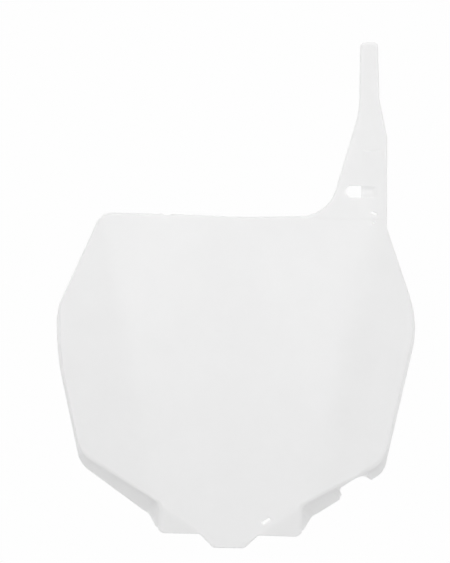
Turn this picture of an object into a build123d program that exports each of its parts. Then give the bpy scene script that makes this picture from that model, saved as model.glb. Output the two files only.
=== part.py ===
from build123d import *
import os
from math import asin, cos, hypot, radians, sin, sqrt, tan

# Front number plate of an off-road motorcycle, one white moulding.
# Millimetres. X runs to the viewer's right, Y to the back, Z up, and the face looks along -Y.
# The origin is the middle of the flat pad on the back of the bottom tongue.

# ---- driving dimensions ----
wall = 2.6  # thickness of the moulding
y_front = -15.0  # foremost line of the face
y_rim = 21.0  # back edge of the skirt
y_fore = -26.0  # level in front of the face where the outline is laid out
y_aft = 30.0  # level behind the skirt where the hollow ends

crown_radius = 900.0  # upright crown of the face
crown_z = 140.0  # height of its foremost line
strap_z = 226.0  # the crown ends here
strap_bends = [(326.0, -0.5), (1740.0, -3.5)]  # radii that bring the strap upright again, and its lean in degrees
wing_turn = 18.0  # degrees that each side wing turns back
# The two folds between face and wings: a point of each, and how far it leans outwards going up.
fold_right = (83.9, 164.8, 0.22)
fold_left = (79.2, 163.2, 0.19)
fold_radius = 45.0

gusset_z = -8.0  # the creases above the two gussets would meet here
gusset_rise_right, gusset_rise_left = 0.65, 0.66  # and rise outwards from there
gusset_back = 6.6  # how far a gusset's outer corner falls behind the face
gusset_radius = 7.0

rim_radius = 2.1  # rounding of the front edge all round

# Side view of the skirt's back edge: y and z, from the side wings up to the foot of the strap,
# and from the skirt's lower end to the back of the gussets.
upper_trim = [(y_rim, 150.0), (3.0, 226.0), (-14.0, 246.0)]
lower_trim = [(y_rim, 18.6), (6.0, 8.4), (-6.0, 6.6)]

slot_left, slot_right, slot_z, slot_height = 75.9, 86.8, 246.0, 8.1  # strap slot
groove_right = 98.0  # the groove that leads into the slot runs out here
groove_depth = 2.0
bead_left, bead_right, bead_z, bead_radius = 87.7, 100.1, 274.1, 1.0  # catch bead across the strap
slit_x, slit_z, slit_length, slit_width = 25.6, 14.7, 6.3, 2.1  # slit above the right gusset
relief_x, relief_z, relief_length, relief_width = 96.0, 231.0, 4.4, 1.7  # slit at the strap's foot
pip_x, pip_z, pip_radius = 95.7, 224.3, 0.8
nick_x, nick_z, nick_radius = -48.3, 226.6, 4.6  # nick in the top edge
gate_x, gate_z, gate_depth, gate_radius = -12.0, 145.1, 0.3, 14.0  # shallow mark of the mould's gate
pad_width, pad_height = 16.0, 7.2  # flat pad on the back of the tongue
# Hose notch in the right skirt, corners in front view with their radii.
notch = [
    (77.4, 24.8, 0),
    (77.5, 31.2, 0),
    (79.1, 33.3, 0.9),
    (77.1, 36.0, 1.4),
    (77.4, 38.4, 1.3),
    (91.1, 47.1, 3.0),
    (93.7, 47.4, 3.0),
    (97.8, 45.0, 4.0),
    (104.4, 37.0, 0),
    (104.2, 25.0, 0),
]

# Outline at the level of the skirt's back edge, clockwise from the top left corner.
# Each row: x, z, corner radius, and the flare of the wall that follows (mm outwards for each mm back).
outline = [
    (-95.2, 229.3, 11.0, 0.08),
    (64.2, 229.9, 27.0, 0.0),
    (83.9, 301.4, 60.0, 0.0),
    (83.7, 349.7, 2.8, 0.0),
    (96.0, 350.9, 3.2, 0.0),
    (98.1, 310.6, 30.0, 0.0),
    (104.2, 284.4, 20.0, 0.0),
    (105.2, 226.0, 14.0, 0.08),
    (130.1, 154.8, 68.0, 0.12),
    (108.2, 49.4, 15.0, 0.35),
    (58.6, 17.2, 6.0, 0.33),
    (56.8, 3.6, 6.0, 0.0),
    (20.6, 4.5, 3.0, 0.0),
    (10.8, -4.8, 3.2, 0.0),
    (-10.8, -5.0, 3.2, 0.0),
    (-20.6, 4.6, 3.0, 0.0),
    (-56.1, 4.2, 6.0, 0.33),
    (-57.6, 16.9, 6.0, 0.40),
    (-105.7, 50.6, 19.0, 0.13),
    (-123.7, 126.4, 180.0, 0.13),
    (-124.7, 158.8, 32.0, 0.08),
]


def outline_at(level, inset):
    """Corners of the outline at a level, with every wall moved in by its flare and by the inset."""
    count = len(outline)
    lines = []
    for i, (x0, z0, _, flare) in enumerate(outline):
        x1, z1 = outline[(i + 1) % count][:2]
        length = hypot(x1 - x0, z1 - z0)
        dx, dz = (x1 - x0) / length, (z1 - z0) / length
        shift = flare * (y_rim - level) + inset * sqrt(1 + flare * flare)
        lines.append((x0 + dz * shift, z0 - dx * shift, dx, dz))
    corners = []
    for i in range(count):
        ax, az, adx, adz = lines[i - 1]
        bx, bz, bdx, bdz = lines[i]
        run = ((bx - ax) * bdz - (bz - az) * bdx) / (adx * bdz - adz * bdx)
        corners.append((ax + adx * run, az + adz * run))
    return corners


def turns_in(i):
    """Whether the outline turns inwards at a corner, as at the foot of the strap."""
    x0, z0 = outline[i - 1][:2]
    x1, z1 = outline[i][:2]
    x2, z2 = outline[(i + 1) % len(outline)][:2]
    return (x1 - x0) * (z2 - z1) - (z1 - z0) * (x2 - x1) > 0


def crown_y(z):
    """Level of the front surface in the middle: a crown, and above it the strap's two bends."""
    rise = min(z, strap_z) - crown_z
    y = y_front + crown_radius - sqrt(crown_radius**2 - rise**2)
    foot, lean = strap_z, asin((strap_z - crown_z) / crown_radius)
    for radius, next_lean in strap_bends:
        if z <= foot:
            return y
        middle_y, middle_z = y - radius * cos(lean), foot + radius * sin(lean)
        head = middle_z - radius * sin(radians(next_lean))
        y = middle_y + sqrt(radius**2 - (min(z, head) - middle_z) ** 2)
        foot, lean = head, radians(next_lean)
    return y + max(z - foot, 0) * tan(lean)


def side_view(inset):
    """Arcs of the front surface moved in by the inset, seen from the side, and the lean at the upper end."""
    low, lean = asin((-60.0 - crown_z) / crown_radius), asin((strap_z - crown_z) / crown_radius)
    radius = crown_radius - inset
    arcs = [
        [
            (y_front + crown_radius - radius * cos(a), crown_z + radius * sin(a))
            for a in (low, (low + lean) / 2, lean)
        ]
    ]
    y, z = crown_y(strap_z), strap_z
    for radius, next_lean in strap_bends:
        end = radians(next_lean)
        middle_y, middle_z = y - radius * cos(lean), z + radius * sin(lean)
        arcs.append(
            [
                (middle_y + (radius + inset) * cos(a), middle_z - (radius + inset) * sin(a))
                for a in (lean, (lean + end) / 2, end)
            ]
        )
        y, z, lean = middle_y + radius * cos(end), middle_z - radius * sin(end), end
    return arcs, lean


def half_face_block(inset, fold, gusset_rise):
    """Everything right of the middle and behind the front surface moved in by the inset."""
    # Line of the fold between face and wing.
    fold_x, fold_z, fold_lean = fold
    fold_axis = Axis((fold_x, crown_y(fold_z), fold_z), (fold_lean, 0, 1))
    # Plane of the gusset: through two points of its crease and its outer corner.
    crease_out = Vector(49.0, crown_y(gusset_z + gusset_rise * 49.0), gusset_z + gusset_rise * 49.0)
    crease_in = Vector(16.0, crown_y(gusset_z + gusset_rise * 16.0), gusset_z + gusset_rise * 16.0)
    gusset_corner = Vector(49.0, crown_y(4.0) + gusset_back, 4.0)
    gusset_normal = (crease_in - crease_out).cross(gusset_corner - crease_out).normalized()
    if gusset_normal.Y > 0:
        gusset_normal = -gusset_normal
    gusset_plane = Plane(origin=crease_out, x_dir=crease_in - crease_out, z_dir=gusset_normal)
    arcs, lean = side_view(inset)
    low, high = arcs[0][0], arcs[-1][-1]
    with BuildPart() as crown:
        with BuildSketch(Plane.YZ.offset(-150)):
            with BuildLine():
                for points in arcs:
                    ThreePointArc(*points)
                head = (high[0] + 90 * tan(lean), high[1] + 90)
                Polyline(high, head, (150, head[1]), (150, low[1]), low)
            make_face()
        extrude(amount=450)
    with BuildPart() as block:
        with Locations((0, y_front - 5, -40)):
            Box(200, 80, 440, align=(Align.MIN, Align.MIN, Align.MIN))
        add(crown.part, mode=Mode.INTERSECT)
        add(crown.part.rotate(fold_axis, wing_turn), mode=Mode.INTERSECT)
        fold_edge = edges().sort_by_distance(fold_axis.position)[0]
        fillet(fold_edge, fold_radius - inset)
        split(bisect_by=gusset_plane.offset(-inset), keep=Keep.BOTTOM)
        gusset = faces().sort_by_distance(gusset_corner + gusset_normal * -inset)[0]
        crease = [e for e in gusset.edges() if 1 < e.center().X < 199 and e.center().Z > -38]
        fillet(crease, gusset_radius - inset)
    return block.part


def face_block(inset):
    """Both halves: everything behind the front surface moved in by the inset, far beyond the outline."""
    with BuildPart() as block:
        add(half_face_block(inset, fold_right, gusset_rise_right))
        add(mirror(half_face_block(inset, fold_left, gusset_rise_left), about=Plane.YZ, mode=Mode.PRIVATE))
    return block.part


def outline_block(inset, aft):
    """The outline as a solid, its walls flared and its corners rounded."""
    with BuildPart() as block:
        for level in (y_fore, aft):
            with BuildSketch(Plane.XZ.offset(-level)):
                with BuildLine():
                    Polyline(*outline_at(level, inset), close=True)
                make_face()
        loft(ruled=True)
        fore, back = outline_at(y_fore, inset), outline_at(aft, inset)
        for i, (_, _, radius, _) in enumerate(outline):
            middle = (
                (fore[i][0] + back[i][0]) / 2,
                (y_fore + aft) / 2,
                (fore[i][1] + back[i][1]) / 2,
            )
            corner = edges().sort_by_distance(middle)[0]
            fillet(corner, radius + inset if turns_in(i) else max(radius - inset, 1.3))
    return block.part


outer_face, inner_face = face_block(0), face_block(wall)
outer_outline, inner_outline = outline_block(0, y_rim), outline_block(wall, y_aft)

# The hollow behind the face and inside the skirt.
with BuildPart() as hollow:
    add(inner_outline)
    add(inner_face, mode=Mode.INTERSECT)

# What is cut away behind the strap, the gussets and the tongue, so that they are one wall thick there.
with BuildPart() as back_trim:
    with BuildSketch(Plane.YZ.offset(-160)):
        with BuildLine():
            Polyline((60, 150), *upper_trim, (-30, 246), (-30, 400), (60, 400), close=True)
        make_face()
        for point, radius in zip(upper_trim, (30, 24, 6)):
            fillet(vertices().sort_by_distance(point)[0], radius)
    with BuildSketch(Plane.YZ.offset(-160)):
        with BuildLine():
            Polyline((60, 20), *lower_trim, (-30, 6.6), (-30, -40), (60, -40), close=True)
        make_face()
        for point, radius in zip(lower_trim, (9, 6, 1)):
            fillet(vertices().sort_by_distance(point)[0], radius)
    extrude(amount=320)
    add(inner_face, mode=Mode.INTERSECT)

with BuildPart() as number_plate:
    add(outer_outline)
    add(outer_face, mode=Mode.INTERSECT)
    fillet(edges(Select.NEW), rim_radius)
    add(hollow.part, mode=Mode.SUBTRACT)
    add(back_trim.part, mode=Mode.SUBTRACT)

    # Flat pad on the back of the tongue, flush with the plane y = 0.
    with BuildSketch(Plane.XZ):
        RectangleRounded(pad_width, pad_height, 1.5)
    extrude(amount=3)

    # Hose notch through the right skirt.
    with BuildSketch(Plane.XZ.offset(-60)):
        with BuildLine():
            Polyline(*[(x, z) for x, z, _ in notch], close=True)
        make_face()
        for x, z, radius in notch:
            if radius:
                fillet(vertices().sort_by_distance((x, z))[0], radius)
    extrude(amount=120, mode=Mode.SUBTRACT)

    # Strap slot, round at its left end and square at its right.
    with BuildSketch(Plane.XZ.offset(-60)):
        with Locations((slot_left + slot_height / 2, slot_z)):
            Circle(slot_height / 2)
            Rectangle(
                slot_right - slot_left - slot_height / 2, slot_height, align=(Align.MIN, Align.CENTER)
            )
    extrude(amount=120, mode=Mode.SUBTRACT)

    # Groove that leads into the slot and runs out to the right.
    floor_in = crown_y(slot_z) + groove_depth
    floor_out = crown_y(slot_z) + 0.8
    groove_way = Vector(groove_right - slot_right, floor_out - floor_in, 0)
    groove_plane = Plane(
        origin=(slot_right - 1, floor_in - 3 - (floor_out - floor_in) / groove_way.X, slot_z),
        x_dir=(0, 0, 1),
        z_dir=groove_way,
    )
    with BuildSketch(groove_plane):
        RectangleRounded(slot_height, 6, 1.9)
    extrude(amount=15, mode=Mode.SUBTRACT)

    # Catch bead across the strap.
    bead_y = crown_y(bead_z) + 0.35
    with BuildLine() as bead_line:
        ThreePointArc(
            (bead_left, bead_y, bead_z + 0.6),
            ((bead_left + bead_right) / 2, bead_y + 0.05, bead_z - 0.4),
            (bead_right, bead_y + 0.5, bead_z + 1.1),
        )
    with BuildSketch(bead_line.line ^ 0):
        Circle(bead_radius)
    sweep(path=bead_line.line)
    with Locations(bead_line.line @ 0, bead_line.line @ 1):
        Sphere(bead_radius, rotation=(90, 0, 0))

    # Slits and the small hole.
    with BuildSketch(Plane.XZ.offset(-60)):
        with Locations(Location((slit_x, slit_z), 32)):
            RectangleRounded(slit_length, slit_width, 0.6)
        with Locations(Location((relief_x, relief_z), -20)):
            SlotOverall(relief_length, relief_width)
        with Locations((pip_x, pip_z)):
            Circle(pip_radius)
        with Locations((nick_x, nick_z + nick_radius)):
            Circle(nick_radius)
    extrude(amount=120, mode=Mode.SUBTRACT)

    # Gate mark on the face.
    with Locations((gate_x, crown_y(gate_z) - gate_radius + gate_depth, gate_z)):
        Sphere(gate_radius, mode=Mode.SUBTRACT)

os.makedirs("parts", exist_ok=True)
number_plate.part.label = "number_plate"
print(
    "number_plate", number_plate.part.volume, number_plate.part.is_valid,
    len(number_plate.part.faces()), len(number_plate.part.solids()), number_plate.part.bounding_box(),
)
export_step(number_plate.part, "parts/number_plate.step")
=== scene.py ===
import math

import bmesh
import bpy
import numpy as np
from mathutils import Matrix, Vector
from mathutils.geometry import delaunay_2d_cdt


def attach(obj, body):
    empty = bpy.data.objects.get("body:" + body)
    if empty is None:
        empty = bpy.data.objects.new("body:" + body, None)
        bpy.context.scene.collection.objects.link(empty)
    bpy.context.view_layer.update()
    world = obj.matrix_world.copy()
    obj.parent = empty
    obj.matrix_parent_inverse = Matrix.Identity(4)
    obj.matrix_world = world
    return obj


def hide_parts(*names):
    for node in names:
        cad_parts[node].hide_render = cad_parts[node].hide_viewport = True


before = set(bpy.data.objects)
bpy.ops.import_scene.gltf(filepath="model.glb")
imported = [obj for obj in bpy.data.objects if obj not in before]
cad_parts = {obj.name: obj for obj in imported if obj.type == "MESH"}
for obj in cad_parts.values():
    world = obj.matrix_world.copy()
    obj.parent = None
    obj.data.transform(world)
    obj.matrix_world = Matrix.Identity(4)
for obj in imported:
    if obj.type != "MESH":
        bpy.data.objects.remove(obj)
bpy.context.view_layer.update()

scene = bpy.context.scene
cad_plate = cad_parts["number_plate"]

# ------------------------------------------------------------------ shape
# The same moulding as the CAD part, in millimetres in the CAD frame, with the finer shape of a moulded wall.
wall = 2.6
y_front, y_rim = -14.99, 21.0
crown_radius, crown_z, strap_z = 900.0, 140.0, 226.0
strap_bends = [(326.0, -0.5), (1740.0, -3.5)]  # radius, and the lean in degrees at the upper end
wing_tan, wing_cos = math.tan(math.radians(18.0)), math.cos(math.radians(18.0))
# Side, point of the fold (x, z), its lean, and half the width of its bend.
folds = [(1, 83.9, 164.8, 0.22, 8.0), (-1, 79.2, 163.2, 0.19, 6.0)]
gusset_z, gusset_back = -8.0, 6.6
gussets = [(1, 0.65), (-1, 0.66)]  # side, rise of the crease
slot_left, slot_right, slot_z, slot_height = 75.9, 86.8, 246.0, 8.1
nick_x, nick_z, nick_radius = -48.3, 226.6, 4.6
notch = np.array([
    (77.4, 24.8), (77.5, 31.2), (78.7, 33.0), (78.6, 34.0), (77.4, 35.5), (77.2, 36.3), (77.4, 37.9), (78.0, 38.7),
    (85.7, 44.1), (89.4, 46.2), (91.1, 46.7), (93.2, 46.8), (95.4, 46.0), (97.0, 45.1), (98.2, 44.3), (99.0, 43.9),
    (99.8, 43.9), (100.6, 44.4), (104.4, 37.0), (104.2, 25.0),
])
# Corners of the outline at the skirt's back edge, clockwise: x, z, radius; then for the wall that follows:
# its flare, the depth of its cove, the rounding of its front edge, and the spacing of the mesh.
rows = np.array([
    (-94.1, 229.3, 11.0, 0.08, 0.0, 1.9, 0.7),
    (-46.0, 229.5, 150.0, 0.08, 0.0, 1.9, 0.9),
    (1.0, 228.2, 400.0, 0.08, 0.0, 1.9, 0.9),
    (38.0, 229.8, 120.0, 0.08, 0.0, 1.9, 0.9),
    (64.2, 229.9, 27.0, 0.0, 0.0, 1.8, 1.2),
    (83.9, 301.4, 60.0, 0.0, 0.0, 1.7, 1.2),
    (83.7, 349.7, 2.8, 0.0, 0.0, 1.7, 0.8),
    (96.0, 350.9, 3.2, 0.0, 0.0, 1.7, 1.2),
    (98.1, 310.6, 30.0, 0.0, 0.0, 1.7, 1.2),
    (104.2, 284.4, 20.0, 0.0, 0.0, 1.7, 1.2),
    (105.25, 223.2, 14.0, 0.02, 0.0, 2.9, 1.4),
    (130.1, 154.8, 68.0, 0.12, 0.0, 2.1, 1.4),
    (107.9, 49.4, 15.0, 0.42, 3.1, 5.0, 0.4),
    (58.6, 17.2, 6.0, 0.33, 0.8, 7.0, 0.6),
    (56.8, 3.6, 6.0, 0.0, 0.0, 1.7, 1.0),
    (20.6, 4.5, 3.0, 0.0, 0.0, 1.7, 0.8),
    (10.8, -4.8, 3.2, 0.0, 0.0, 1.7, 0.8),
    (-10.8, -5.0, 3.2, 0.0, 0.0, 1.7, 0.8),
    (-20.6, 4.6, 3.0, 0.0, 0.0, 1.7, 1.0),
    (-56.1, 4.2, 6.0, 0.33, 0.8, 7.0, 0.6),
    (-57.6, 16.9, 6.0, 0.42, 2.0, 3.2, 0.8),
    (-105.7, 50.6, 19.0, 0.13, 0.9, 1.4, 1.4),
    (-123.7, 126.4, 180.0, 0.13, 0.5, 1.8, 1.4),
    (-124.7, 158.8, 32.0, 0.02, 0.0, 2.8, 1.4),
])


def ease(t):
    t = np.clip(t, 0.0, 1.0)
    return t * t * (3 - 2 * t)


def crown_y(z):
    """Level of the front surface in the middle: a crown, and above it the strap's two bends."""
    rise = np.minimum(z, strap_z) - crown_z
    level = y_front + crown_radius - np.sqrt(crown_radius**2 - rise**2)
    foot, lean = strap_z, math.asin((strap_z - crown_z) / crown_radius)
    foot_y = y_front + crown_radius * (1 - math.cos(lean))
    for bend, next_lean in strap_bends:
        middle_y, middle_z = foot_y - bend * math.cos(lean), foot + bend * math.sin(lean)
        lean = math.radians(next_lean)
        head = middle_z - bend * math.sin(lean)
        over = middle_y + np.sqrt(bend**2 - (np.clip(z, foot, head) - middle_z) ** 2)
        level = np.where(z > foot, over, level)
        foot, foot_y = head, middle_y + bend * math.cos(lean)
    return level + np.maximum(z - foot, 0) * math.tan(lean)


def bent_max(a, b, reach):
    """The further back of two levels, with a round bend where they cross."""
    e = b - a
    return a + np.where(e > reach, e, np.clip(e + reach, 0, 2 * reach) ** 2 / (4 * reach))


def gusset_plane(rise):
    points = [(49.0, gusset_z + rise * 49.0, 0.0), (16.0, gusset_z + rise * 16.0, 0.0), (49.0, 4.0, gusset_back)]
    left = np.array([(1.0, x, z) for x, z, _ in points])
    return np.linalg.solve(left, np.array([crown_y(np.float64(z)) + back for _, z, back in points]))


def face_y(x, z):
    """Level of the front surface: crown, wings and gussets."""
    crown = crown_y(z)
    y = crown
    for side, fold_x, fold_z, lean, half in folds:
        away = (side * x - fold_x - lean * (z - fold_z)) / math.hypot(1, lean)
        pivot = crown_y(np.float64(fold_z))
        y = bent_max(y, pivot + away * wing_tan + (crown - pivot) / wing_cos, wing_tan * half)
    for side, rise in gussets:
        a, b, c = gusset_plane(rise)
        y = bent_max(y, a + b * side * x + c * z, 0.55)
    return y


def front_y(x, z):
    """The front surface with its small marks: strap foot, groove, catch and gate mark."""
    y = face_y(x, z)
    top = 229.3 + (x + 95.2) * 0.6 / 160
    y = y - 0.25 * ease((x - 50) / 12) * ease((z - top + 4.1) / 2.2)
    # groove that leads into the slot
    across = (z - slot_z) / (slot_height / 2)
    depth = 1.9 - 0.9 * (x - slot_right) / 10.7
    trough = np.clip(1 - across * across, 0, 1)
    y = y + np.where(x > slot_right - 1, depth * trough * (1 - ease((x - 94.8) / 3.4)), 0.0)
    # catch across the strap: a long slope from below and a steep upper side
    line = 273.7 + 1.25 * ((x - 93.7) / 6.3) ** 2
    ends = ease((x - 86.6) / 3.0) * ease((101.2 - x) / 3.0)
    t = z - line
    y = y - 0.45 * ends * np.where(t < 0, ease((t + 20) / 20), 1 - ease(t / 1.0))
    # gate mark
    r2 = ((x + 12.0) ** 2 + (z - 145.1) ** 2) / 2.9**2
    return y + 0.3 * np.clip(1 - r2, 0, 1)


def back_y(x, z):
    """The inner surface, one wall behind the front, with the flat pad of the tongue."""
    e = 0.05
    gx = (face_y(x + e, z) - face_y(x - e, z)) / (2 * e)
    gz = (face_y(x, z + e) - face_y(x, z - e)) / (2 * e)
    y = face_y(x, z) + wall * np.sqrt(1 + gx * gx + gz * gz)
    px, pz = np.abs(x) - 6.5, np.abs(z - 0.7) - 1.4
    out = np.hypot(np.maximum(px, 0), np.maximum(pz, 0)) + np.minimum(np.maximum(px, pz), 0) - 1.5
    pad = 1 - ease(out / 0.4)
    return y * (1 - pad) + 0.0 * pad


# ---- the outline, rounded, as one loop of points for any level and inset
count = len(rows)
corner, radius = rows[:, :2], rows[:, 2]
way = np.roll(corner, -1, 0) - corner
length = np.linalg.norm(way, axis=1)
way = way / length[:, None]
out_of = np.stack([-way[:, 1], way[:, 0]], 1)
before = np.roll(way, 1, 0)
turn = np.arctan2(before[:, 0] * way[:, 1] - before[:, 1] * way[:, 0], (before * way).sum(1))
flare = rows[:, 3]
cone = np.zeros(count)  # growth of a corner's radius towards the face
cone[12] = 0.5
arc_steps = np.maximum(np.ceil(np.abs(turn) / math.radians(7)), np.ceil(np.abs(turn) * radius / 1.3)).astype(int) + 1
line_steps = np.ceil(length / rows[:, 6]).astype(int)


def loop_at(level, inset):
    shift = flare * (y_rim - level) + inset * np.sqrt(1 + flare**2)
    base = corner - out_of * shift[:, None]
    past, past_way = np.roll(base, 1, 0), before
    gap = base - past
    run = (gap[:, 0] * way[:, 1] - gap[:, 1] * way[:, 0]) / (past_way[:, 0] * way[:, 1] - past_way[:, 1] * way[:, 0])
    at = past + past_way * run[:, None]
    r = np.where(turn > 0, radius + inset, np.maximum(radius - inset, 1.3)) + cone * (y_rim - level)
    reach = r * np.tan(np.abs(turn) / 2)
    points = []
    for i in range(count):
        sign = -1.0 if turn[i] > 0 else 1.0
        normal = out_of[i - 1]
        centre = at[i] - before[i] * reach[i] - normal * r[i] * sign
        for j in range(arc_steps[i] + 1):
            a = turn[i] * j / arc_steps[i]
            n = np.array((normal[0] * math.cos(a) - normal[1] * math.sin(a),
                          normal[0] * math.sin(a) + normal[1] * math.cos(a)))
            points.append(centre + n * r[i] * sign)
        k = (i + 1) % count
        start, end = at[i] + way[i] * reach[i], at[k] - way[i] * reach[k]
        for j in range(1, line_steps[i]):
            points.append(start + (end - start) * j / line_steps[i])
    return np.array(points)


# Cove and rounding at the start and at the end of each wall; the skirts are softer at their outer corners.
first, last = rows[:, 4:6].copy(), rows[:, 4:6].copy()
first[12], last[12] = (2.6, 8.0), (3.1, 4.4)
first[20], last[20] = (2.0, 3.0), (0.7, 6.5)
normals, shape_of = [], []
for i in range(count):
    n = out_of[i - 1]
    for j in range(arc_steps[i] + 1):
        t = j / arc_steps[i]
        a = turn[i] * t
        normals.append((n[0] * math.cos(a) - n[1] * math.sin(a), n[0] * math.sin(a) + n[1] * math.cos(a)))
        shape_of.append(last[i - 1] * (1 - t) + first[i] * t)
    for j in range(1, line_steps[i]):
        t = j / line_steps[i]
        normals.append(out_of[i])
        shape_of.append(first[i] * (1 - t) + last[i] * t)
normals, (cove, rim) = np.array(normals), np.array(shape_of).T
total = len(normals)

hair = 0.01  # the moulding stays this much inside the CAD outline
outer_0, inner_0 = loop_at(0.0, hair), loop_at(0.0, wall)
outer_slope, inner_slope = (loop_at(10.0, hair) - outer_0) / 10, (loop_at(10.0, wall) - inner_0) / 10


def nicked(p, r):
    dx = p[:, 0] - nick_x
    low = nick_z + nick_radius - np.sqrt(np.maximum(r * r - dx * dx, 0))
    p[:, 1] = np.where((np.abs(dx) < r) & (p[:, 1] > 200), np.minimum(p[:, 1], low), p[:, 1])
    return p


def outer(y):
    return nicked(outer_0 + outer_slope * y[:, None], nick_radius)


def inner(y):
    return nicked(inner_0 + inner_slope * y[:, None], nick_radius + wall)


def within(p, polygon):
    """Which points lie inside a polygon."""
    inside = np.zeros(len(p), bool)
    for (x0, z0), (x1, z1) in zip(polygon, np.roll(polygon, -1, 0)):
        if z0 == z1:
            continue
        crosses = (z0 > p[:, 1]) != (z1 > p[:, 1])
        inside ^= crosses & (p[:, 0] < x0 + (p[:, 1] - z0) * (x1 - x0) / (z1 - z0))
    return inside


def solved(loop, surface):
    y = np.full(total, -8.0)
    for _ in range(40):
        p = loop(y)
        y = surface(p[:, 0], p[:, 1])
    return y


def plain_back(x, z):
    e = 0.05
    gx = (face_y(x + e, z) - face_y(x - e, z)) / (2 * e)
    gz = (face_y(x, z + e) - face_y(x, z - e)) / (2 * e)
    return face_y(x, z) + wall * np.sqrt(1 + gx * gx + gz * gz)


front_edge = solved(outer, front_y)
root_edge = solved(inner, plain_back)

# Level at which each wall ends: the trimmed back edge, or the notch.
trim_z = np.arange(-40, 400, 0.25)
upper = np.interp(trim_z, [100, 150, 226, 246, 300], [21, 21, 3, -14, -60])
lower = np.interp(trim_z, [-40, 6.6, 8.4, 18.6, 30], [-60, -6, 6, 21, 21])
upper = np.convolve(np.pad(upper, 24, "edge"), np.ones(49) / 49, "valid")
lower = np.convolve(np.pad(lower, 6, "edge"), np.ones(13) / 13, "valid")
trim = np.minimum(np.minimum(upper, lower), y_rim)
end_level = np.full(total, y_rim)
done, notched = np.zeros(total, bool), np.zeros(total, bool)
for level in np.arange(-14.0, y_rim, 0.05):
    p = outer(np.full(total, level))
    cut = (level > np.interp(p[:, 1], trim_z, trim)) | (within(p, notch) & (level > front_edge + 2.5))
    fresh = cut & ~done
    end_level[fresh] = level
    notched |= fresh & within(p, notch)
    done |= cut
end_level = np.maximum(end_level, root_edge + 0.12)


# ---- sections across the edge: front rounding, wall, back edge, inner wall, root
def unit(v):
    return v / np.linalg.norm(v, axis=1)[:, None]


def spread(p, y):
    return np.stack([p[:, 0], y, p[:, 1]], 1)


def rounded(at, to_last, to_next, r, steps):
    """Points of a round corner between two directions, for every section at once."""
    angle = np.arccos(np.clip((to_last * to_next).sum(1), -0.9999, 0.9999))
    reach = (r / np.tan(angle / 2))[:, None]
    middle = at + unit(to_last + to_next) * (r / np.sin(angle / 2))[:, None]
    a, b = at + to_last * reach - middle, at + to_next * reach - middle
    sweep = math.pi - angle
    return [
        middle + (np.sin((1 - t) * sweep) / np.sin(sweep))[:, None] * a + (np.sin(t * sweep) / np.sin(sweep))[:, None] * b
        for t in np.linspace(0, 1, steps + 1)
    ]


def slope_out(surface, p):
    a, b = p + normals * 0.05, p - normals * 0.05
    return (surface(a[:, 0], a[:, 1]) - surface(b[:, 0], b[:, 1])) / 0.1


flat_out = np.stack([normals[:, 0], np.zeros(total), normals[:, 1]], 1)
edge_at = spread(outer(front_edge), front_edge)
face_in = -flat_out.copy()
face_in[:, 1] = -slope_out(face_y, outer(front_edge))
face_in = unit(face_in)
end_at = spread(outer(end_level), end_level)
wall_back = unit(end_at - edge_at)
tall = np.linalg.norm(end_at - edge_at, axis=1)
angle = np.arccos((face_in * wall_back).sum(1))
front_round = np.minimum(rim, np.where(notched, 0.36, 0.72) * tall * np.tan(angle / 2))
even = np.convolve(np.pad(front_round, 5, "wrap"), np.ones(11) / 11, "valid")
front_round = np.minimum(front_round, np.where(np.convolve(np.pad(notched, 9, "wrap"), np.ones(19), "valid") > 0.5, even, rim))
sections = rounded(edge_at, face_in, wall_back, front_round, 9)
sections[0][:, 1] = front_y(sections[0][:, 0], sections[0][:, 2])

inner_end = spread(inner(end_level), end_level)
thick = np.linalg.norm(inner_end - end_at, axis=1)
root_at = spread(inner(root_edge), root_edge)
deep = np.linalg.norm(inner_end - root_at, axis=1)
to_inner = unit(inner_end - end_at)
back_angle = np.arccos((-wall_back * to_inner).sum(1))
back_round = np.minimum(np.minimum(0.9, 0.4 * thick), 0.2 * tall * np.tan(back_angle / 2))
outer_turn = rounded(end_at, -wall_back, to_inner, back_round, 4)
inner_way = unit(root_at - inner_end)
inner_turn = rounded(inner_end, -to_inner, inner_way, np.minimum(np.minimum(0.9, 0.4 * thick), 0.4 * deep), 4)
root_in = -flat_out.copy()
root_in[:, 1] = -slope_out(plain_back, inner(root_edge))
root_in = unit(root_in)
root_turn = rounded(root_at, -inner_way, root_in, np.minimum(0.9, 0.4 * deep), 3)


def coved(points, start, end, skew):
    """Straight from one place to another, hollowed towards the inside of the outline."""
    made = []
    for t in points:
        p = start + (end - start) * t
        made.append(p - flat_out * (cove * np.clip(deep / 18.0, 0, 1) * skew(t))[:, None])
    return made


hollow = lambda t: 4 * t * (1 - t)
sections += coved(np.arange(1, 9) / 9, sections[-1], outer_turn[0], hollow)
sections += outer_turn + inner_turn
sections += coved(np.arange(1, 5) / 5, inner_turn[-1], root_turn[0], hollow)
sections += root_turn
sections[-1][:, 1] = plain_back(sections[-1][:, 0], sections[-1][:, 2])


# ---- holes through the wall
def round_box(x, z, long, tall, r, degrees, gap):
    a, b = long / 2 - r, tall / 2 - r
    pts, nrm = [], []
    for cx, cz, start in ((a, b, 90), (-a, b, 180), (-a, -b, 270), (a, -b, 360)):
        for j in range(7):
            t = math.radians(start - 90 + 15 * j)
            pts.append((cx + r * math.cos(t), cz + r * math.sin(t)))
            nrm.append((math.cos(t), math.sin(t)))
    pts, nrm = np.array(pts), np.array(nrm)
    p2, n2 = [], []
    for i in range(len(pts)):
        k = (i + 1) % len(pts)
        parts = max(1, int(np.linalg.norm(pts[k] - pts[i]) / gap))
        for j in range(parts):
            if np.linalg.norm(pts[k] - pts[i]) < 1e-9:
                continue
            t = j / parts
            p2.append(pts[i] * (1 - t) + pts[k] * t)
            n2.append(nrm[i] * (1 - t) + nrm[k] * t)
    c, s = math.cos(math.radians(degrees)), math.sin(math.radians(degrees))
    turned = np.array([[c, s], [-s, c]])
    return np.array(p2) @ turned + np.array((x, z)), np.array(n2) @ turned


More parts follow.
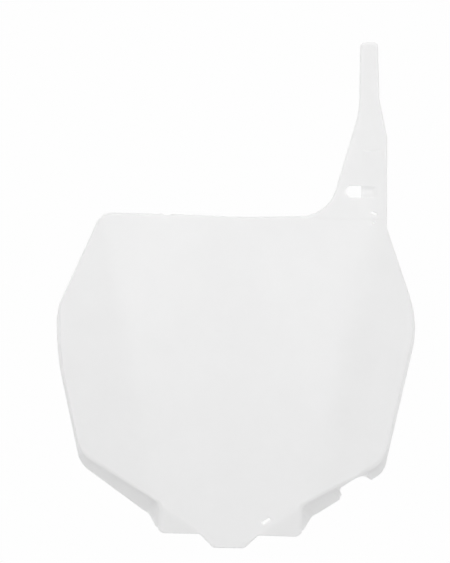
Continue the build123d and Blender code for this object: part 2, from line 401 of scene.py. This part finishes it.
def slot_loop():
    """Round at the left, square at the right with slightly broken corners."""
    r, pts, nrm = slot_height / 2, [], []
    for j in range(25):
        t = math.radians(90 + 180 * j / 24)
        pts.append((slot_left + r + r * math.cos(t), slot_z + r * math.sin(t)))
        nrm.append((math.cos(t), math.sin(t)))
    for j in range(1, 13):
        pts.append((slot_left + r + (slot_right - 0.5 - slot_left - r) * j / 13, slot_z - r))
        nrm.append((0.0, -1.0))
    for start, cz in ((-90, -r + 0.5), (0, r - 0.5)):
        for j in range(5):
            t = math.radians(start + 22.5 * j)
            pts.append((slot_right - 0.5 + 0.5 * math.cos(t), slot_z + cz + 0.5 * math.sin(t)))
            nrm.append((math.cos(t), math.sin(t)))
        if start < 0:
            for j in range(1, 14):
                pts.append((slot_right, slot_z - r + 0.5 + (2 * r - 1) * j / 14))
                nrm.append((1.0, 0.0))
    for j in range(1, 13):
        pts.append((slot_right - 0.5 - (slot_right - 0.5 - slot_left - r) * j / 13, slot_z + r))
        nrm.append((0.0, 1.0))
    return np.array(pts), np.array(nrm)


holes = [
    slot_loop(),
    round_box(25.6, 14.7, 6.3, 2.1, 0.6, 32, 0.4),
    round_box(96.0, 231.0, 4.4, 1.7, 0.84, -20, 0.4),
    round_box(95.7, 224.3, 1.6, 1.6, 0.79, 0, 0.4),
]
hole_sections = []
for p, n in holes:
    a, b = front_y(p[:, 0], p[:, 1]), plain_back(p[:, 0], p[:, 1])
    r = np.minimum(0.35, 0.35 * (b - a))
    ring = []
    for t in np.radians([90, 60, 30, 0]):
        q = p + n * (r * (1 - math.cos(t)))[:, None]
        ring.append(spread(q, (front_y(q[:, 0], q[:, 1]) if t > 1.5 else a + r * (1 - math.sin(t)))))
    for t in np.radians([0, 30, 60, 90]):
        q = p + n * (r * (1 - math.cos(t)))[:, None]
        ring.append(spread(q, (plain_back(q[:, 0], q[:, 1]) if t > 1.5 else b - r * (1 - math.sin(t)))))
    hole_sections.append(ring)


# ---- the two large surfaces
def lattice(x0, x1, z0, z1, gap):
    gx, gz = np.meshgrid(np.arange(x0, x1, gap), np.arange(z0, z1, gap * 0.87))
    gx = gx + (np.arange(gz.shape[0]) % 2)[:, None] * gap / 2
    return np.stack([gx.ravel(), gz.ravel(), np.full(gx.size, gap)], 1)


def along(x0, z0, x1, z1, offsets, gap):
    a, b = np.array((x0, z0)), np.array((x1, z1))
    d = (b - a) / np.linalg.norm(b - a)
    n = np.array((-d[1], d[0]))
    t = np.arange(0, np.linalg.norm(b - a), gap)
    near = min(abs(p - q) for p, q in zip(offsets[1:], offsets[:-1]))
    return np.concatenate([
        np.column_stack([a + t[:, None] * d + n * o, np.full(len(t), min(gap, near) * 1.1)]) for o in offsets
    ])


def spaced(candidates, fixed):
    """Candidates kept only where they are not crowded."""
    cell, taken, kept = 1.0, {}, []
    for x, z in fixed:
        taken.setdefault((int(x // cell), int(z // cell)), []).append((x, z))
    for x, z, gap in candidates:
        least = 0.62 * gap
        reach = int(least // cell) + 1
        i, j = int(x // cell), int(z // cell)
        crowded = False
        for a in range(i - reach, i + reach + 1):
            for b in range(j - reach, j + reach + 1):
                for u, v in taken.get((a, b), ()):
                    if (u - x) ** 2 + (v - z) ** 2 < least * least:
                        crowded = True
                        break
                if crowded:
                    break
            if crowded:
                break
        if not crowded:
            taken.setdefault((i, j), []).append((x, z))
            kept.append((x, z))
    return np.array(kept)


def filled(border, hole_loops, candidates, surface):
    """Triangles that fill a border around holes; the loops come first in the list of points."""
    loops = [border] + hole_loops
    fixed = np.concatenate(loops)
    ok = within(candidates[:, :2], border)
    for h in hole_loops:
        ok &= ~within(candidates[:, :2], h)
    more = spaced(candidates[ok], fixed)
    points = np.concatenate([fixed, more])
    edges, start = [], 0
    for l in loops:
        edges += [(start + i, start + (i + 1) % len(l)) for i in range(len(l))]
        start += len(l)
    made, _, tris, origin, _, _ = delaunay_2d_cdt([Vector(p) for p in points], edges, [], 1, 1e-6)
    if len(made) != len(points):
        raise RuntimeError("the border crosses itself: %d points became %d" % (len(points), len(made)))
    tris = np.array([[origin[i][0] for i in t] for t in tris])
    middle = points[tris].mean(1)
    for h in hole_loops:
        inside = within(middle, h)
        tris, middle = tris[~inside], middle[~inside]
    return spread(more, surface(more[:, 0], more[:, 1])), tris


fine = [
    lattice(86.0, 101.0, 241.0, 251.0, 0.45),
    lattice(86.4, 101.6, 272.6, 276.4, 0.4),
    lattice(86.0, 102.0, 254.0, 280.0, 1.2),
    lattice(-15.4, -8.6, 141.7, 148.5, 0.6),
    along(48.0, 226.3, 105.0, 226.5, [-2.0, -1.4, -0.7, 0.0, 0.7, 1.4, 2.0], 1.2),
]
for side, rise in gussets:
    fine.append(along(0.0, gusset_z, side * 62.0, gusset_z + rise * 62.0, [-2.2, -1.5, -0.75, 0.0, 0.75, 1.5, 2.2], 1.2))
for side, fold_x, fold_z, lean, half in folds:
    fine.append(along(side * (fold_x - 160 * lean), fold_z - 160, side * (fold_x + 90 * lean), fold_z + 90,
                      [half * f for f in (-1, -0.75, -0.5, -0.25, 0, 0.25, 0.5, 0.75, 1)], 2.0))
coarse = lattice(-132.0, 132.0, -8.0, 356.0, 2.6)
pad = [lattice(-9.0, 9.0, -2.6, 4.4, 0.4)]


def built_mesh():
    points, faces = [], []

    def put(p):
        start = sum(len(q) for q in points)
        points.append(p)
        return start

    rings = [put(s) for s in sections]
    for a, b in zip(rings[:-1], rings[1:]):
        for i in range(total):
            k = (i + 1) % total
            faces.append((a + i, a + k, b + k, b + i))
    hole_rings = []
    for ring in hole_sections:
        starts = [put(s) for s in ring]
        hole_rings.append(starts)
        m = len(ring[0])
        for a, b in zip(starts[:-1], starts[1:]):
            for i in range(m):
                k = (i + 1) % m
                faces.append((a + i, b + i, b + k, a + k))
    for last, surface, dense in ((0, front_y, fine), (-1, back_y, pad + fine[4:])):
        border = sections[last][:, [0, 2]]
        hole_loops = [ring[last][:, [0, 2]] for ring in hole_sections]
        more, tris = filled(border, hole_loops, np.concatenate(dense + [coarse]), surface)
        place = np.concatenate([np.arange(rings[last], rings[last] + total)] + [
            np.arange(s[last], s[last] + len(l)) for s, l in zip(hole_rings, hole_loops)
        ])
        start = put(more)
        place = np.concatenate([place, np.arange(start, start + len(more))])
        faces.extend(tuple(t) for t in place[tris].tolist())
    return np.concatenate(points) * 0.001, faces


points, faces = built_mesh()
mesh = bpy.data.meshes.new("number_plate_moulding")
mesh.from_pydata([tuple(p) for p in points.tolist()], [], faces)
bm = bmesh.new()
bm.from_mesh(mesh)
bmesh.ops.remove_doubles(bm, verts=bm.verts, dist=2e-6)
bmesh.ops.dissolve_degenerate(bm, edges=bm.edges, dist=1e-7)
bmesh.ops.recalc_face_normals(bm, faces=bm.faces)
for f in bm.faces:
    f.smooth = True
for e in bm.edges:
    e.smooth = len(e.link_faces) != 2 or e.calc_face_angle(0.0) < math.radians(40)
bm.to_mesh(mesh)
bm.free()
plate = bpy.data.objects.new("number_plate_moulding", mesh)
scene.collection.objects.link(plate)
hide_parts("number_plate")
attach(plate, "root")


# ---------------------------------------------------------------- material
def white_plastic():
    """White moulded plastic: glossy, with faint flow marks, an uneven gloss and a fine orange-peel skin."""
    mat = bpy.data.materials.new("white_plastic_moulded")
    mat.use_nodes = True
    nt = mat.node_tree
    new, link = nt.nodes.new, nt.links.new
    bsdf = nt.nodes["Principled BSDF"]
    bsdf.inputs["IOR"].default_value = 1.49
    # the white plastic is a little milky: light spreads a millimetre or two inside the wall
    bsdf.inputs["Subsurface Weight"].default_value = 1.0
    bsdf.inputs["Subsurface Radius"].default_value = (1.0, 1.0, 1.0)
    bsdf.inputs["Subsurface Scale"].default_value = 0.0013
    place = new("ShaderNodeTexCoord").outputs["Object"]

    def noise(scale, detail, rough, stretch):
        turn = new("ShaderNodeMapping")
        turn.inputs["Scale"].default_value = stretch
        link(place, turn.inputs["Vector"])
        n = new("ShaderNodeTexNoise")
        n.inputs["Scale"].default_value = scale
        n.inputs["Detail"].default_value = detail
        n.inputs["Roughness"].default_value = rough
        link(turn.outputs["Vector"], n.inputs["Vector"])
        return n.outputs["Fac"]

    def spread_to(value, low, high):
        m = new("ShaderNodeMapRange")
        m.inputs["From Min"].default_value, m.inputs["From Max"].default_value = 0.3, 0.7
        m.inputs["To Min"].default_value, m.inputs["To Max"].default_value = low, high
        link(value, m.inputs["Value"])
        return m.outputs["Result"]

    # colour: slow flow marks that run out from the gate, and a little mottle
    flow = noise(16.0, 3.0, 0.55, (1.0, 1.0, 0.45))
    mottle = noise(55.0, 4.0, 0.6, (1.0, 1.0, 1.0))
    both = new("ShaderNodeMath")
    both.operation = "MULTIPLY_ADD"
    both.inputs[1].default_value = 0.4
    link(mottle, both.inputs[0])
    scaled = new("ShaderNodeMath")
    scaled.operation = "MULTIPLY"
    scaled.inputs[1].default_value = 0.6
    link(flow, scaled.inputs[0])
    link(scaled.outputs[0], both.inputs[2])
    tone = new("ShaderNodeValToRGB")
    tone.color_ramp.elements[0].position, tone.color_ramp.elements[1].position = 0.3, 0.7
    tone.color_ramp.elements[0].color = (0.848, 0.848, 0.848, 1)
    tone.color_ramp.elements[1].color = (0.872, 0.872, 0.872, 1)
    link(both.outputs[0], tone.inputs["Fac"])
    link(tone.outputs["Color"], bsdf.inputs["Base Color"])
    # gloss: a moulded skin, duller in patches
    link(spread_to(noise(38.0, 3.0, 0.5, (1.0, 1.0, 1.0)), 0.29, 0.38), bsdf.inputs["Roughness"])
    # skin: fine orange peel
    bump = new("ShaderNodeBump")
    bump.inputs["Strength"].default_value = 0.05
    bump.inputs["Distance"].default_value = 0.0004
    link(noise(420.0, 2.0, 0.5, (1.0, 1.0, 1.0)), bump.inputs["Height"])
    link(bump.outputs["Normal"], bsdf.inputs["Normal"])
    return mat


mat = white_plastic()
plate.data.materials.clear()
plate.data.materials.append(mat)


# ---------------------------------------------------------------- stage
floor_mat = bpy.data.materials.new("pale_floor")
floor_mat.use_nodes = True
floor_bsdf = floor_mat.node_tree.nodes["Principled BSDF"]
floor_bsdf.inputs["Base Color"].default_value = (0.775, 0.775, 0.775, 1)
floor_bsdf.inputs["Roughness"].default_value = 0.9
floor_z = -0.10
floor_mesh = bpy.data.meshes.new("floor")
floor_mesh.from_pydata([(-5, -6, floor_z), (5, -6, floor_z), (5, 1.4, floor_z), (-5, 1.4, floor_z)], [], [(0, 1, 2, 3)])
floor_mesh.update()
floor_mesh.materials.append(floor_mat)
floor = bpy.data.objects.new("floor", floor_mesh)
scene.collection.objects.link(floor)


# ---------------------------------------------------------------- light
# A soft white studio tent all round: strongest in front, softer from above, white behind.
world = bpy.data.worlds.new("studio")
scene.world = world
world.use_nodes = True
wn = world.node_tree
background = wn.nodes["Background"]
toward = wn.nodes.new("ShaderNodeTexCoord").outputs["Generated"]


def glow(axis, start, full, power, strength, before=None):
    """Light that grows around a direction, from one cosine to another, added to what was there before."""
    aimed = wn.nodes.new("ShaderNodeVectorMath")
    aimed.operation = "DOT_PRODUCT"
    aimed.inputs[1].default_value = Vector(axis).normalized()
    wn.links.new(toward, aimed.inputs[0])
    grow = wn.nodes.new("ShaderNodeMapRange")
    grow.inputs["From Min"].default_value, grow.inputs["From Max"].default_value = start, full
    wn.links.new(aimed.outputs["Value"], grow.inputs["Value"])
    shape = wn.nodes.new("ShaderNodeMath")
    shape.operation = "POWER"
    shape.inputs[1].default_value = power
    wn.links.new(grow.outputs["Result"], shape.inputs[0])
    total_light = wn.nodes.new("ShaderNodeMath")
    total_light.operation = "MULTIPLY_ADD"
    total_light.inputs[1].default_value = strength
    total_light.inputs[2].default_value = 0.0
    wn.links.new(shape.outputs[0], total_light.inputs[0])
    if before is not None:
        wn.links.new(before, total_light.inputs[2])
    return total_light.outputs[0]


tent = glow((0, 1, 0), -0.15, 0.0, 1.0, 0.991)
tent = glow((0, -1, 0), 0.0, 1.0, 1.0, 0.83, tent)
tent = glow((0, -1, 0), 0.0, 1.0, 2.5, 1.00, tent)
tent = glow((0, -0.7, 0.7), 0.3, 1.0, 1.5, 0.30, tent)
tent = glow((-1, 0, 0), 0.06, 1.0, 1.0, 0.036, tent)
wn.links.new(tent, background.inputs["Color"])
background.inputs["Strength"].default_value = 1.0

scene.view_settings.view_transform = "Standard"
scene.view_settings.look = "None"
scene.view_settings.exposure = 0.0
scene.view_settings.gamma = 1.0


# ---------------------------------------------------------------- camera
roll = math.radians(1.283)
distance = 4.0
aim = Vector((-0.0068, 0.0, 0.1813))
right = Vector((math.cos(roll), 0, math.sin(roll)))
up = Vector((-math.sin(roll), 0, math.cos(roll)))
back = Vector((0, -1, 0))
cam_data = bpy.data.cameras.new("camera")
cam_data.sensor_width = 36.0
cam_data.lens = 36.0 * distance / (563 * 0.000699)
cam_data.clip_start, cam_data.clip_end = 0.05, 60
cam = bpy.data.objects.new("camera", cam_data)
cam.matrix_world = Matrix((
    (right.x, up.x, back.x, aim.x + back.x * distance),
    (right.y, up.y, back.y, aim.y + back.y * distance),
    (right.z, up.z, back.z, aim.z + back.z * distance),
    (0, 0, 0, 1),
))
scene.collection.objects.link(cam)
scene.camera = cam

bpy.context.view_layer.update()
